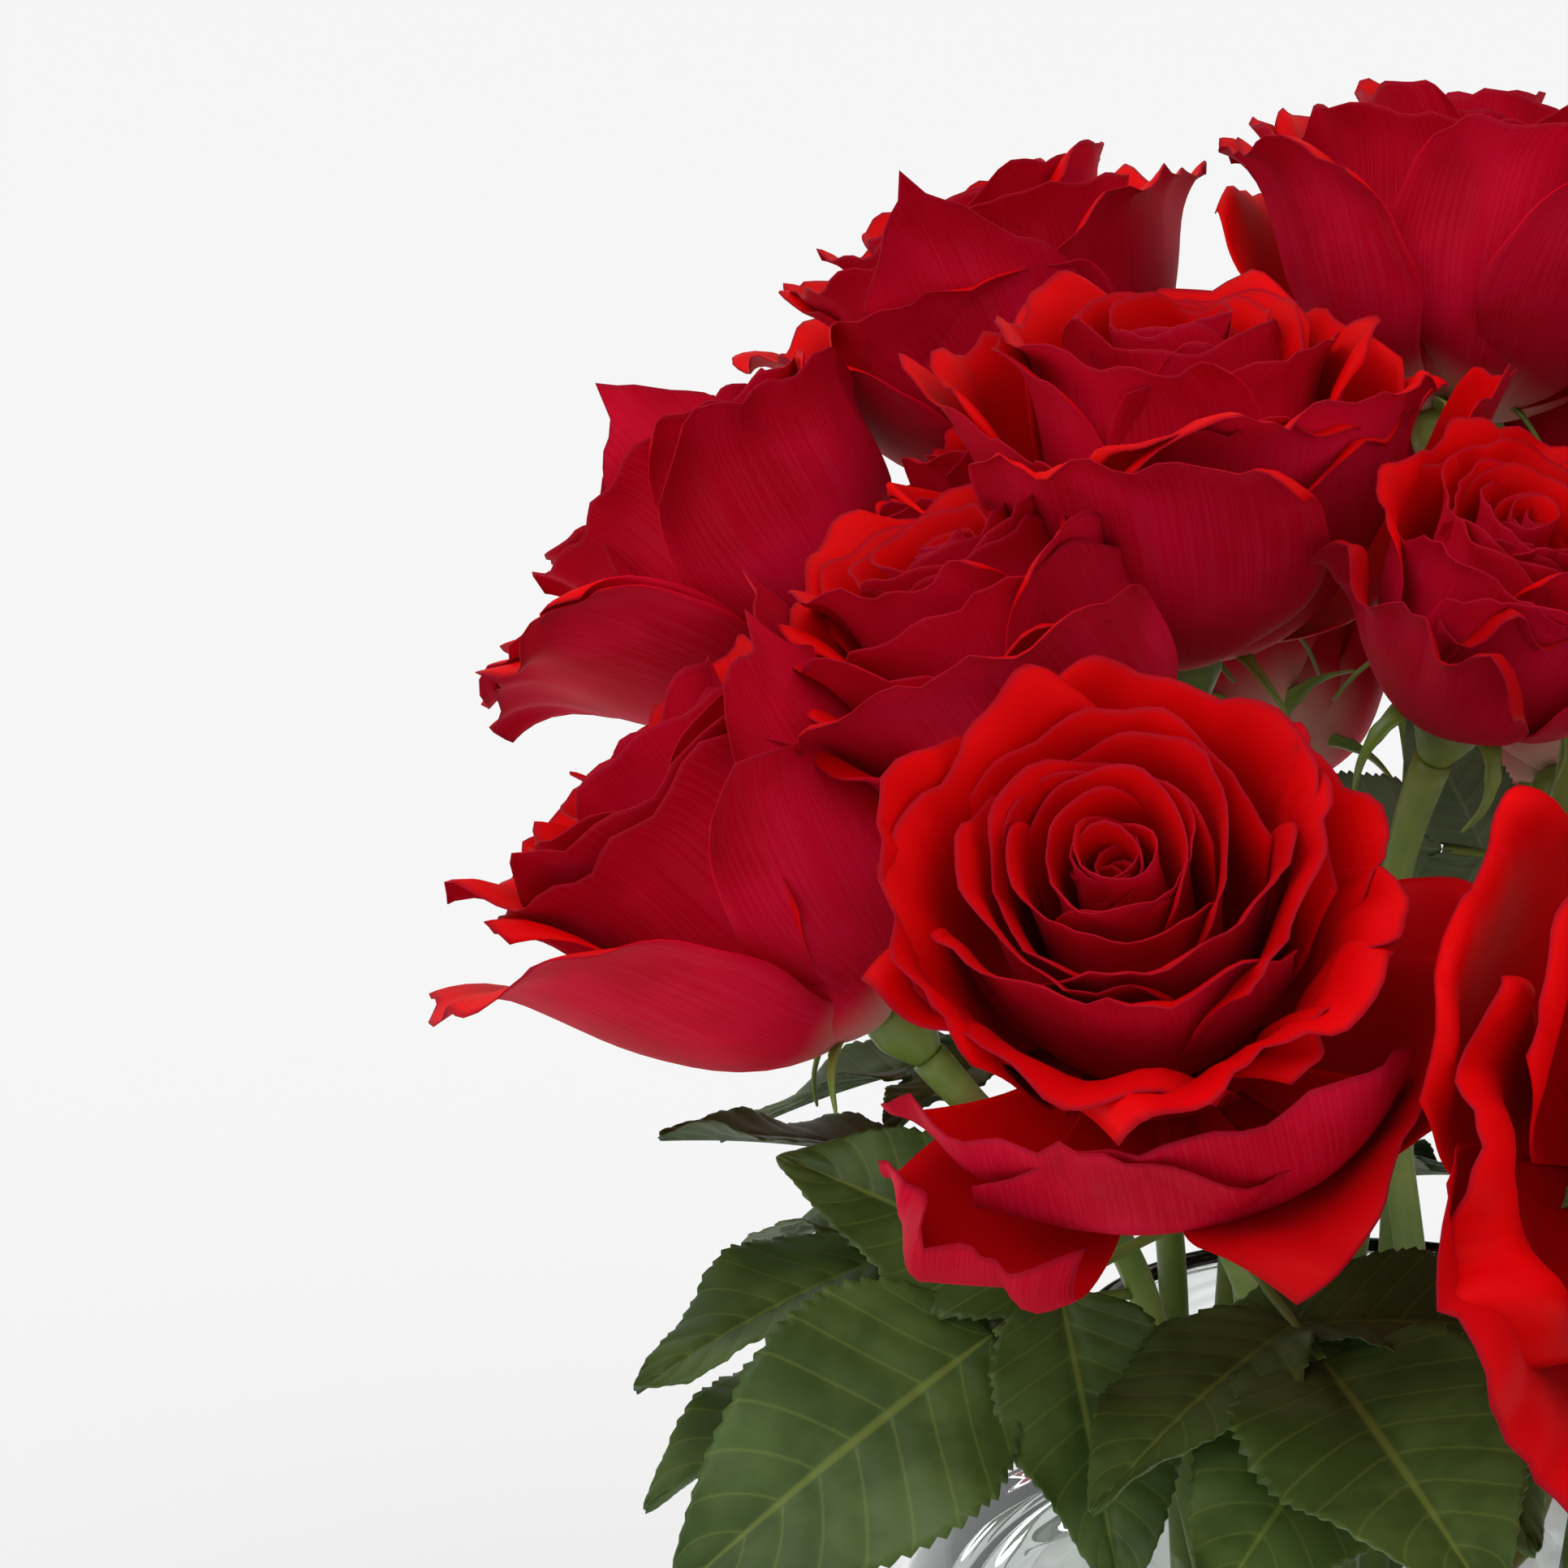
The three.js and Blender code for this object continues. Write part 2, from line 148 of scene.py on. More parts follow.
# Loose outer petals: azimuth in degrees about the rose's axis (0 up, 90 to the rose's right hand side); the
# stage that they have opened to, or their own rise; their length and half width in mm for a rose of 47 mm
# radius; how their lip curls and their edges roll, ruffle, tear or come to a point; and how dark they are,
# which is painted shade.
guards = {
    "front": [
        dict(azimuth=104, stage=1.6, length=62, width=30, lip=30, ruffle=1.6),
        dict(azimuth=164, stage=2.0, length=68, width=32, lip=60, ruffle=2.4),
        dict(azimuth=226, stage=2.1, length=70, width=32, lip=60, ruffle=2.4),
        dict(
            azimuth=206, rise=[105, 98, 66, 14, -12, -14], length=80, width=42,
            lip=10, sway=0, ruffle=1.2,
        ),
        dict(azimuth=176, rise=[105, 96, 60, 20, 0, -6], length=74, width=36, lip=10, sway=0, ruffle=1.6),
        dict(
            azimuth=240, rise=[105, 98, 74, 44, 30, 24], length=70, width=36,
            lip=70, ruffle=3.0, waves=7, tone=0.9,
        ),
        dict(
            azimuth=272, rise=[105, 98, 84, 66, 54, 44], length=78, width=32,
            lip=60, ruffle=3.0, waves=7, tone=1.0,
        ),
        dict(
            azimuth=156, rise=[105, 98, 74, 58, 56, 50], length=76, width=20, lip=-135,
            lipShare=0.3, ruffle=3.6, waves=6, tone=1.0,
        ),
        dict(azimuth=255, stage=2.2, length=66, width=24, lip=60, lipShare=0.3, roll=50, ruffle=2.4),
        dict(azimuth=300, stage=1.9, length=62, width=24, lip=40, lipShare=0.3, roll=40, ruffle=2.0),
    ],
    "front_right": [
        dict(azimuth=122, stage=3.1, length=82, width=34, lip=25, torn=0.07, ruffle=4.6, waves=9, tone=0.7),
        dict(
            azimuth=88, stage=2.9, length=70, width=28, lip=70, lipShare=0.3,
            lean=0.6, roll=60, ruffle=4.4, waves=8, torn=0.05,
        ),
        dict(azimuth=50, stage=3.0, length=80, width=28, lip=60, point=0.06, ruffle=3.2, waves=7),
    ],
    "left": [
        dict(
            azimuth=252, stage=2.0, length=62, width=40, lip=40,
            lipShare=0.16, roll=20, lean=-0.4, ruffle=2.4,
        ),
        dict(azimuth=318, stage=1.7, length=76, width=22, point=0.16, shoulder=0.5, lip=20, roll=60),
        dict(azimuth=345, stage=1.2, length=76, width=20, point=0.16, shoulder=0.5, lip=20, roll=60),
    ],
    "upper_right": [
        dict(azimuth=110, stage=2.4, length=66, width=34, lip=50, ruffle=4.0, waves=9, torn=0.06, tone=1.0),
        dict(
            azimuth=165, stage=2.0, length=62, width=30, lip=70,
            ruffle=4.4, waves=10, torn=0.08, tone=1.0,
        ),
        dict(azimuth=220, stage=2.5, length=66, width=32, lip=60, ruffle=4.2, waves=9, torn=0.06, tone=1.0),
    ],
    "left_back": [
        dict(azimuth=300, stage=1.8, length=70, width=26, point=0.14, shoulder=0.45, lip=20, roll=50),
        dict(azimuth=230, stage=2.6, length=70, width=34, point=0.08, lip=60, roll=30, ruffle=2.0),
    ],
    "top_left": [
        dict(azimuth=270, stage=2.3, length=78, width=26, point=0.15, shoulder=0.45, lip=20, roll=40),
        dict(azimuth=110, stage=2.9, length=74, width=28, point=0.12, lip=40, roll=30, ruffle=2.0),
        dict(azimuth=200, stage=2.6, length=70, width=34, lip=60, ruffle=2.0),
    ],
    "upper_front": [
        dict(azimuth=298, stage=3.0, length=86, width=24, lip=20, point=0.12, roll=50, ruffle=2.0),
        dict(azimuth=120, stage=3.0, length=72, width=30, lip=60, ruffle=2.0),
        dict(azimuth=190, stage=2.3, length=74, width=36, lip=60, ruffle=2.0),
        dict(azimuth=240, stage=2.0, length=72, width=34, lip=60, ruffle=2.0),
    ],
    "inner_left": [
        dict(azimuth=180, stage=2.6, length=72, width=36, lip=50, ruffle=2.0),
        dict(azimuth=250, stage=2.3, length=74, width=36, lip=50, ruffle=2.0),
    ],
    "top": [
        dict(azimuth=150, stage=2.8, length=74, width=24, point=0.12, lip=90, roll=50),
        dict(azimuth=200, stage=2.4, length=72, width=34, lip=60, ruffle=2.0),
    ],
    "crown_left": [
        dict(azimuth=185, stage=2.8, length=86, width=36, lip=40, ruffle=2.4),
        dict(azimuth=245, stage=2.6, length=82, width=34, lip=40, ruffle=2.4),
    ],
    "upper_side": [
        dict(azimuth=60, stage=3.0, length=88, width=34, lip=40, ruffle=2.4),
        dict(azimuth=110, stage=2.8, length=84, width=34, lip=60, ruffle=2.4),
    ],
}


def direction(azimuth, elevation):
    # unit vector: azimuth turns from -Y towards +X, elevation rises towards +Z
    a, e = math.radians(azimuth), math.radians(elevation)
    return np.array([math.sin(a) * math.cos(e), -math.cos(a) * math.cos(e), math.sin(e)])


def unit(vector):
    return vector / np.maximum(np.linalg.norm(vector, axis=-1, keepdims=True), 1e-12)


def smooth(low, high, value):
    # 0 below low, 1 above high, and an S curve between
    t = np.clip((value - low) / (high - low), 0, 1)
    return t * t * (3 - 2 * t)


def placeRose(rose):
    # the bloom's middle, seat and facing, and two axes across it: "up" lies towards the sky
    facing = direction(*rose["faces"])
    azimuth, elevation, distance = rose["at"]
    middle = direction(azimuth, elevation) * distance * mm + [0, 0, bouquet["domeHeight"]]
    up = unit(np.array([0, 0, 1.0]) - facing[2] * facing)
    rose.update(facing=facing, middle=middle, seat=middle - facing * bouquet["bloomDepth"] / 2)
    rose.update(up=up, side=np.cross(facing, up))


for order, (name, rose) in enumerate(roses.items()):
    placeRose(rose)
    rose["guards"] = guards.get(name, [])
    rose["chance"] = np.random.default_rng(rose.get("seed", 40 + order))


def shellFaces(rows, columns):
    # quads of a closed shell: a face grid, its back turned round, and a strip along the border
    index = np.arange(rows * columns).reshape(rows, columns)
    quads = [index[:-1, :-1], index[:-1, 1:], index[1:, 1:], index[1:, :-1]]
    top = np.stack(quads, -1).reshape(-1, 4)
    count = rows * columns
    rim = np.concatenate([index[0, :-1], index[:-1, -1], index[-1, :0:-1], index[:0:-1, 0]])
    ahead = np.roll(rim, -1)
    strip = np.stack([ahead, rim, rim + count, ahead + count], -1)
    return np.concatenate([top, top[:, ::-1] + count, strip])


def shell(points, thickness, u, v, **marks):
    # A sheet (rows, columns, 3) given a thickness along its normals: half to each side, thinner at the
    # border.
    # "outer" is 1 on the side that the cross product of its u and v directions points to.
    rows, columns = points.shape[:2]
    across = np.gradient(points, axis=1)
    along = np.gradient(points, axis=0)
    normal = unit(np.cross(across, along))
    half = thickness / 2 * np.ones((rows, columns, 1))
    half[0] = half[-1] = half[:, 0] = half[:, -1] = thickness * 0.3
    verts = np.concatenate([(points + normal * half).reshape(-1, 3), (points - normal * half).reshape(-1, 3)])
    flat = np.ones(rows * columns)
    values = {"outer": np.concatenate([flat, 0 * flat])}
    for name, value in marks.items():
        both = np.broadcast_to(value, (rows, columns)).reshape(-1)
        values[name] = np.concatenate([both, both])
    uv = np.stack([u.reshape(-1), v.reshape(-1)], -1)
    return verts, shellFaces(rows, columns), np.concatenate([uv, uv]), values


def tubeShell(path, radius, sides, **marks):
    # a round section carried along a path of points, closed by its two end points
    rows = len(path)
    tangent = unit(np.gradient(path, axis=0))
    reference = np.array([0.31, 0.17, 0.93]) if abs(tangent[0][2]) < 0.9 else np.array([1.0, 0.2, 0.1])
    first = unit(np.cross(tangent, reference))
    second = np.cross(tangent, first)
    angle = np.linspace(0, 2 * np.pi, sides, endpoint=False)
    radius = np.broadcast_to(radius, rows)
    ring = np.cos(angle)[None, :, None] * first[:, None] + np.sin(angle)[None, :, None] * second[:, None]
    verts = (path[:, None] + ring * radius[:, None, None]).reshape(-1, 3)
    index = np.arange(rows * sides).reshape(rows, sides)
    nextSide = np.roll(index, -1, axis=1)
    quads = np.stack([index[:-1], nextSide[:-1], nextSide[1:], index[1:]], -1).reshape(-1, 4)
    verts = np.concatenate([verts, path[:1], path[-1:]])
    foot = np.stack([index[0], np.full(sides, rows * sides), nextSide[0]], -1)
    tip = np.stack([index[-1], nextSide[-1], np.full(sides, rows * sides + 1)], -1)
    share = np.repeat(np.linspace(0, 1, rows), sides)
    uv = np.stack([np.tile(angle / (2 * np.pi), rows), share], -1)
    uv = np.concatenate([uv, [[0.5, 0], [0.5, 1]]])
    values = {name: np.full(len(verts), value) for name, value in marks.items()}
    return verts, (quads, foot, tip), uv, values


def makePiece(name, parts, material, node):
    # joins parts (vertices, faces, uv, values) into one mesh that stands for one CAD node
    verts, loops, sizes, uvs = [], [], [], []
    names = sorted({key for part in parts for key in part[3]})
    columns = {key: [] for key in names}
    offset = 0
    for partVerts, faces, uv, values in parts:
        for group in faces if isinstance(faces, tuple) else (faces,):
            loops.append(group.reshape(-1) + offset)
            sizes.append(np.full(len(group), group.shape[1]))
        verts.append(partVerts)
        uvs.append(uv)
        for key in names:
            columns[key].append(values.get(key, np.zeros(len(partVerts))))
        offset += len(partVerts)
    verts, loops, sizes = np.concatenate(verts), np.concatenate(loops), np.concatenate(sizes)
    mesh = bpy.data.meshes.new(name)
    mesh.vertices.add(len(verts))
    mesh.vertices.foreach_set("co", verts.astype(np.float32).ravel())
    mesh.loops.add(len(loops))
    mesh.loops.foreach_set("vertex_index", loops.astype(np.int32))
    mesh.polygons.add(len(sizes))
    starts = np.concatenate([[0], np.cumsum(sizes)[:-1]])
    mesh.polygons.foreach_set("loop_start", starts.astype(np.int32))
    mesh.polygons.foreach_set("use_smooth", np.ones(len(sizes), bool))
    mesh.update(calc_edges=True)
    layer = mesh.uv_layers.new(name="along")
    layer.data.foreach_set("uv", np.concatenate(uvs)[loops].astype(np.float32).ravel())
    for key in names:
        attribute = mesh.attributes.new(key, "FLOAT", "POINT")
        attribute.data.foreach_set("value", np.concatenate(columns[key]).astype(np.float32))
    mesh.validate()
    mesh.materials.append(material)
    piece = bpy.data.objects.new(name, mesh)
    bpy.context.scene.collection.objects.link(piece)
    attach(piece, "root")
    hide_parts(node)
    return piece


def colour(text):
    # an sRGB hex colour as linear RGBA
    parts = [int(text[i : i + 2], 16) / 255 for i in (1, 3, 5)]
    return [c / 12.92 if c <= 0.04045 else ((c + 0.055) / 1.055) ** 2.4 for c in parts] + [1]


def addNode(material, kind, inputs=None, **settings):
    # adds a node; inputs maps a socket's name or number to a value or to another node's output
    tree = material.node_tree
    node = tree.nodes.new(kind)
    for key, value in settings.items():
        setattr(node, key, value)
    for key, value in (inputs or {}).items():
        if isinstance(value, bpy.types.NodeSocket):
            tree.links.new(value, node.inputs[key])
        else:
            node.inputs[key].default_value = value
    return node


def newMaterial(name, **surface):
    # a material with one Principled surface whose sockets take the given values
    material = bpy.data.materials.new(name)
    material.use_nodes = True
    shader = material.node_tree.nodes["Principled BSDF"]
    for key, value in surface.items():
        shader.inputs[key].default_value = value
    return material, shader


def calculate(material, operation, *values):
    # the result of a maths node
    inputs = dict(enumerate(values))
    return addNode(material, "ShaderNodeMath", inputs, operation=operation).outputs[0]


def noise(material, vector, scale, detail):
    inputs = {"Vector": vector, "Scale": scale, "Detail": detail}
    return addNode(material, "ShaderNodeTexNoise", inputs).outputs[0]


def mixColour(material, factor, low, high):
    # one colour faded into another: sockets 6 and 7 and output 2 are the colour ones
    inputs = {0: factor, 6: low, 7: high}
    return addNode(material, "ShaderNodeMix", inputs, data_type="RGBA").outputs[2]


def ramp(material, value, low, high, toLow=0.0, toHigh=1.0):
    inputs = {"Value": value, "From Min": low, "From Max": high, "To Min": toLow, "To Max": toHigh}
    return addNode(material, "ShaderNodeMapRange", inputs, interpolation_type="SMOOTHSTEP").outputs[0]


def petalMaterial():
    # Rose petal: a velvety cell surface, deep red inside; the back is cooler and paler, with veins that run
    # lengthways, a whitish claw and a thin dusky margin. Light comes through it a little.
    material, shader = newMaterial(
        "rosePetal",
        Roughness=0.6,
        **{"Sheen Weight": 0.02, "Sheen Roughness": 0.4, "Sheen Tint": colour("#FF5A70")},
        **{"Subsurface Weight": 0.12, "Subsurface Radius": (0.0035, 0.0004, 0.0003), "Subsurface Scale": 1.0},
        **{"Specular IOR Level": 0.05},
    )
    uv = addNode(material, "ShaderNodeUVMap", uv_map="along").outputs[0]
    spot = addNode(material, "ShaderNodeTexCoord").outputs["Object"]
    outer = addNode(material, "ShaderNodeAttribute", attribute_name="outer").outputs["Fac"]
    tone = addNode(material, "ShaderNodeAttribute", attribute_name="tone").outputs["Fac"]
    along = addNode(material, "ShaderNodeSeparateXYZ", {0: uv}).outputs
    # veins: noise stretched along the petal, so it's fine across and long lengthways
    stretched = addNode(material, "ShaderNodeMapping", {"Vector": uv, "Scale": (70, 2.2, 1)}).outputs[0]
    veins = ramp(material, noise(material, stretched, 1.0, 3.0), 0.42, 0.62)
    cloud = noise(material, spot, 45.0, 2.0)
    cloud = ramp(material, cloud, 0.35, 0.65)
    inner = mixColour(material, cloud, colour("#D20004"), colour("#E40206"))
    # painted shade: darker red for petals deep inside the bloom and for guards in its shade, with a little
    # random tone besides
    inner = mixColour(material, tone, inner, colour("#B4020A"))
    back = mixColour(material, cloud, colour("#B2001E"), colour("#C8062E"))
    back = mixColour(material, ramp(material, veins, 0.0, 1.0, 0.0, 0.07), back, colour("#D2496A"))
    claw = ramp(material, along[1], 0.3, 0.0, 0.0, 0.8)
    back = mixColour(material, claw, back, colour("#E6B9A8"))
    base = mixColour(material, outer, inner, back)
    margin = ramp(material, along[1], 0.975, 1.0, 0.0, 0.6)
    base = mixColour(material, margin, base, colour("#6E0A1E"))
    material.node_tree.links.new(base, shader.inputs["Base Color"])
    lines = calculate(material, "MULTIPLY", veins, outer)
    bump = addNode(material, "ShaderNodeBump", {"Height": lines, "Strength": 0.1, "Distance": 0.0003})
    material.node_tree.links.new(bump.outputs[0], shader.inputs["Normal"])
    return material


def stemMaterial():
    # Rose stem, hip and sepals: smooth waxy skin, yellow-green, reddish in patches
    material, shader = newMaterial("roseStem", Roughness=0.42, **{"Specular IOR Level": 0.45})
    spot = addNode(material, "ShaderNodeTexCoord").outputs["Object"]
    patches = noise(material, spot, 60.0, 3.0)
    base = mixColour(material, ramp(material, patches, 0.35, 0.65), colour("#5E7A2C"), colour("#7F8F3E"))
    base = mixColour(material, ramp(material, patches, 0.6, 0.75, 0, 0.5), base, colour("#7A4A30"))
    material.node_tree.links.new(base, shader.inputs["Base Color"])
    return material


def leafMaterial():
    # Rose leaf: a waxy green top, with a yellow-green midrib and faint side veins, and a dull grey-green back
    material, shader = newMaterial("roseLeaf", Roughness=0.5, **{"Specular IOR Level": 0.25})
    uv = addNode(material, "ShaderNodeUVMap", uv_map="along").outputs[0]
    outer = addNode(material, "ShaderNodeAttribute", attribute_name="outer").outputs["Fac"]
    blade = addNode(material, "ShaderNodeAttribute", attribute_name="blade").outputs["Fac"]
    spot = addNode(material, "ShaderNodeTexCoord").outputs["Object"]
    axes = addNode(material, "ShaderNodeSeparateXYZ", {0: uv}).outputs
    across = calculate(material, "ABSOLUTE", axes[0])
    # side veins: evenly spaced lines that slant towards the tip, a little closer together there
    slant = calculate(material, "MULTIPLY_ADD", across, -0.19, axes[1])
    order = calculate(material, "MULTIPLY", slant, leaflet["veins"])
    order = calculate(material, "PINGPONG", order, 0.5)
    lines = ramp(material, order, 0.07, 0.0, 0.0, 0.5)
    rib = ramp(material, across, 0.05, 0.012)
    lines = calculate(material, "MAXIMUM", lines, rib)
    lines = calculate(material, "MULTIPLY", lines, blade)
    lines = calculate(material, "MULTIPLY", lines, 0.24)
    patches = noise(material, spot, 70.0, 4.0)
    patches = ramp(material, patches, 0.35, 0.65)
    top = mixColour(material, patches, colour("#33491A"), colour("#465C28"))
    top = mixColour(material, lines, top, colour("#A0AC4C"))
    back = mixColour(material, patches, colour("#4C5A3C"), colour("#5E6C4C"))
    back = mixColour(material, lines, back, colour("#8C9672"))
    base = mixColour(material, outer, back, top)
    base = mixColour(material, blade, colour("#6A7A34"), base)
    material.node_tree.links.new(base, shader.inputs["Base Color"])
    return material

# How a petal rises from the hip, at the shares of its length in "at": the angle of its midline from the
# rose's axis, in degrees. Buds wrap the axis, cups open and stand, and guards fall open.
rise = {
    "at": [0.0, 0.16, 0.4, 0.65, 0.85, 1.0],
    "bud": [30, 6, -3, -6, -5, 0],
    "cup": [68, 34, 10, 3, 4, 10],
    "bowl": [88, 60, 24, 9, 10, 20],
    "open": [92, 78, 50, 36, 40, 52],
    "guard": [95, 88, 78, 76, 84, 98],
}
stages = ["bud", "cup", "bowl", "open", "guard"]

petalGrid = {"rows": 24, "columns": 25, "thickness": 0.4 * mm}


def fromMiddle(steps):
    # steps (rows, columns) added up outwards from the middle column, to both sides
    middle = steps.shape[1] // 2
    right = np.cumsum(np.hstack([np.zeros((len(steps), 1)), steps[:, middle:-1]]), axis=1)
    left = -np.cumsum(steps[:, :middle][:, ::-1], axis=1)[:, ::-1]
    return np.hstack([left, right])


def aboutAxis(x, y, z, azimuth):
    # points turned about the rose's axis
    a = np.radians(azimuth)
    return np.stack([x * np.cos(a) - y * np.sin(a), x * np.sin(a) + y * np.cos(a), z], -1)


def petalSheet(p, grid=petalGrid):
    # A petal in the rose's own frame: x outwards, y along the ring, z up the axis.
    # Along: the midline's angle from the axis is integrated over the length. Across: the sheet's own angle,
    # its bend about the axis less its rolled edges, is integrated over the width.
    v = 1 - (1 - np.linspace(0, 1, grid["rows"])[:, None]) ** 1.3
    t = np.linspace(-1, 1, grid["columns"])[None, :]
    u = np.sign(t) * (1 - (1 - np.abs(t)) ** 1.25)
    outline = 1 - p["shoulder"] * np.abs(u) ** 3 + p["point"] * np.exp(-np.abs(u) / 0.13)
    waves = 0.03 * np.sin(5.1 * u + p["phase"]) + 0.015 * np.sin(13 * u - p["phase"])
    outline = outline + p["wave"] * waves
    tear = np.sin(7 * u + p["phase"]) + 0.7 * np.sin(16 * u - p["phase"]) + 0.35 * np.sin(31 * u)
    outline = outline - p["torn"] * (0.5 + 0.5 * np.tanh(1.6 * tear))
    length = p["length"] * outline
    reach = v * outline
    angle = np.radians(np.interp(reach, rise["at"], p["rise"]))
    lip = smooth(1 - p["lipShare"], 1.0, v) * (1 - 0.45 * np.exp(-((u / 0.16) ** 2)))
    uneven = 0.75 + 0.25 * np.sin(4.3 * u + p["phase"])
    angle = angle + np.radians(p["lip"]) * lip * (1 + p["lean"] * u) * uneven
    step = np.diff(v, axis=0, prepend=0) * length
    middle = (angle + np.vstack([angle[:1], angle[:-1]])) / 2
    r = p["root"] + np.cumsum(np.sin(middle) * step, axis=0)
    z = p["base"] + np.cumsum(np.cos(middle) * step, axis=0)
    width = p["width"] * (0.22 + 0.78 * np.sin(np.clip(reach / 0.72, 0, 1) * np.pi / 2) ** 1.15)
    centre = grid["columns"] // 2
    bend = width / np.maximum(r[:, centre : centre + 1] * p["wrap"], 2.5 * mm)
    roll = np.radians(p["roll"]) * smooth(0.35, 0.9, v) * smooth(0.62, 1.0, np.abs(u))
    roll = roll * 2.6 * (1 + p["lean"] * u)
    ds = np.diff(u, axis=1, append=1)
    lateral = fromMiddle((bend - roll) * np.ones_like(u) * ds)
    y = fromMiddle(np.cos(lateral) * width * ds)
    d = fromMiddle(np.sin(lateral) * width * ds)
    # ruffles, low bumps and the slight spiral of one edge over the next
    ruffle = p["ruffle"] * smooth(0.5, 1.0, v) * np.sin(p["waves"] * u + p["phase"]) * np.abs(u) ** 0.5
    crinkle = np.sin(19 * u + 2.5 * np.sin(6 * u - p["phase"])) * smooth(0.78, 1.0, v)
    ruffle = ruffle + p["crinkle"] * crinkle
    bumps = 0.5 * mm * np.sin(3.1 * u + 5.7 * v + p["phase"]) * np.sin(4.9 * v + 2 * p["phase"]) * v
    out = ruffle + bumps + p["spiral"] * u * smooth(0.0, 0.5, v)
    x = r - (d - out) * np.cos(angle)
    z = z + (d - out) * np.sin(angle)
    points = aboutAxis(x, y, z, p["azimuth"])
    return points, u * np.ones_like(v), v * np.ones_like(u)


def riseAt(stage):
    # the rise between two neighbouring stages, such as 1.5 for halfway from cup to bowl
    stage = min(max(stage, 0), len(stages) - 1.001)
    low, high = rise[stages[int(stage)]], rise[stages[int(stage) + 1]]
    return np.array(low) + (np.array(high) - low) * (stage % 1)


def makePetal(rose, share, **own):
    # The sizes and shape of one petal: share runs from 0 at the bud to 1 at the outermost; "own" overrides
    # them.
    opening, size = rose["open"], rose["radius"] / 47 * mm
    wobble = rose["chance"].normal(0, 1, 6)
    petal = dict(
        azimuth=rose["turn"],
        stage=(1.5 + 1.7 * opening) * share**1.15,
        sway=3.0 * wobble[1],
        root=(1.0 + 3.2 * share) * mm,
        base=(4 - 5 * share) * mm,
        length=44 + 25 * share**0.7 + 1.5 * wobble[2],
        width=18 + 17 * share**0.7,
        wrap=1.0 + 0.12 * share,
        shoulder=0.17 + 0.04 * share,
        point=0.02 * abs(wobble[3]),
        wave=0.4 + 0.7 * share,
        torn=0.0,
        lean=0.0,
        crinkle=(0.05 + 0.45 * share) * mm,
        slack=1.5 * mm,
        lip=(8 + 50 * share**0.8) * (0.5 + 0.6 * opening) + 12 * wobble[4] * share,
        lipShare=0.1 + 0.12 * share,
        roll=8 + 26 * share**2,
        ruffle=0.2 + 1.2 * share,
        waves=5 + 3 * abs(wobble[5]),
        spiral=1.1 * mm,
        phase=rose["chance"].uniform(0, 6.28),
        # painted shade: inner petals darker, as if shaded deep in the bloom, with a little random tone from
        # the wobble
        tone=np.clip(0.6 - 0.6 * share + 0.12 * wobble[0], 0, 1),
    )
    petal.update(own)
    petal["rise"] = np.array(petal.get("rise", riseAt(petal["stage"]))) + petal["sway"]
    for key in ("length", "width"):
        petal[key] = petal[key] * size
    petal["ruffle"] = petal["ruffle"] * mm
    return petal


def whorl(rose):
    # The petals of one rose, from the bud out, each turned by about the golden angle from the last; then its
    # guards, the loose outer petals, each with its own place and shape.
    count = rose.get("petals", 21)
    petals = []
    for k in range(count):
        share = k / (count - 1)
        azimuth = rose["turn"] + goldenAngle * k + rose["chance"].normal(0, 9)
        petals.append(makePetal(rose, share, azimuth=azimuth))
    for guard in rose["guards"]:
        petals.append(makePetal(rose, 1.0, **{"root": 5 * mm, "base": -2 * mm, "slack": 10 * mm, **guard}))
    return petals


def crowd(points, name, slack):
    # Blooms press against each other: the part of a point's way out from its rose's middle that nears the
    # plane shared with a neighbour is squeezed, and never passes it. Order is kept, so petals stay in their
    # layers. Up to the share "free" of the way to the plane, nothing is squeezed.
    free = 0.68
    rose = roses[name]
    out = points - rose["middle"]
    keep = np.ones(points.shape[:-1])
    for otherName, other in roses.items():
        if otherName == name:
            continue
        across = other["middle"] - rose["middle"]
        distance = np.linalg.norm(across)
        limit = distance * rose["radius"] / (rose["radius"] + other["radius"]) + slack
        reach = (out @ (across / distance)) / limit
        eased = free + (1 - free) * (1 - np.exp(-(np.maximum(reach, free) - free) / (1 - free)))
        keep = np.minimum(keep, np.where(reach > free, eased / np.maximum(reach, 1e-9), 1))
    return rose["middle"] + out * keep[..., None]


def toWorld(rose, points):
    # from the rose's own frame, whose origin is its seat
    across = points[..., :1] * rose["up"] + points[..., 1:2] * rose["side"]
    return rose["seat"] + across + points[..., 2:] * rose["facing"]


def makeBloom(name, material):
    rose = roses[name]
    parts = []
    for petal in whorl(rose):
        points, u, v = petalSheet(petal)
        points = crowd(toWorld(rose, points), name, petal["slack"])
        parts.append(shell(points, petalGrid["thickness"], u, v, tone=petal["tone"]))
    return makePiece(name + ".petals", parts, material, "bloom_" + name)


def bezier(points, count):
    t = np.linspace(0, 1, count)[:, None]
    a, b, c, d = points
    return a * (1 - t) ** 3 + 3 * b * t * (1 - t) ** 2 + 3 * c * t * t * (1 - t) + d * t**3


def stemPath(rose):
    # straight from its foot to the mouth, then a curve that meets the bloom head on
    mouthRadius, footRadius = rings[rose["ring"]]
    mouth = direction(rose["mouth"], 0) * mouthRadius + [0, 0, bouquet["mouthHeight"]]
    foot = direction(rose["mouth"] + bouquet["stemTwist"], 0) * footRadius + [0, 0, bouquet["footHeight"]]
    neck = rose["seat"] - rose["facing"] * bouquet["hipLength"]
    reach = np.linalg.norm(neck - mouth) * 0.42
    rising = unit(mouth - foot)
    bend = bezier((mouth, mouth + rising * reach, neck - rose["facing"] * reach, neck), 40)
    straight = np.linspace(foot, mouth, 30)[:-1]
    return np.concatenate([straight, bend]), bend


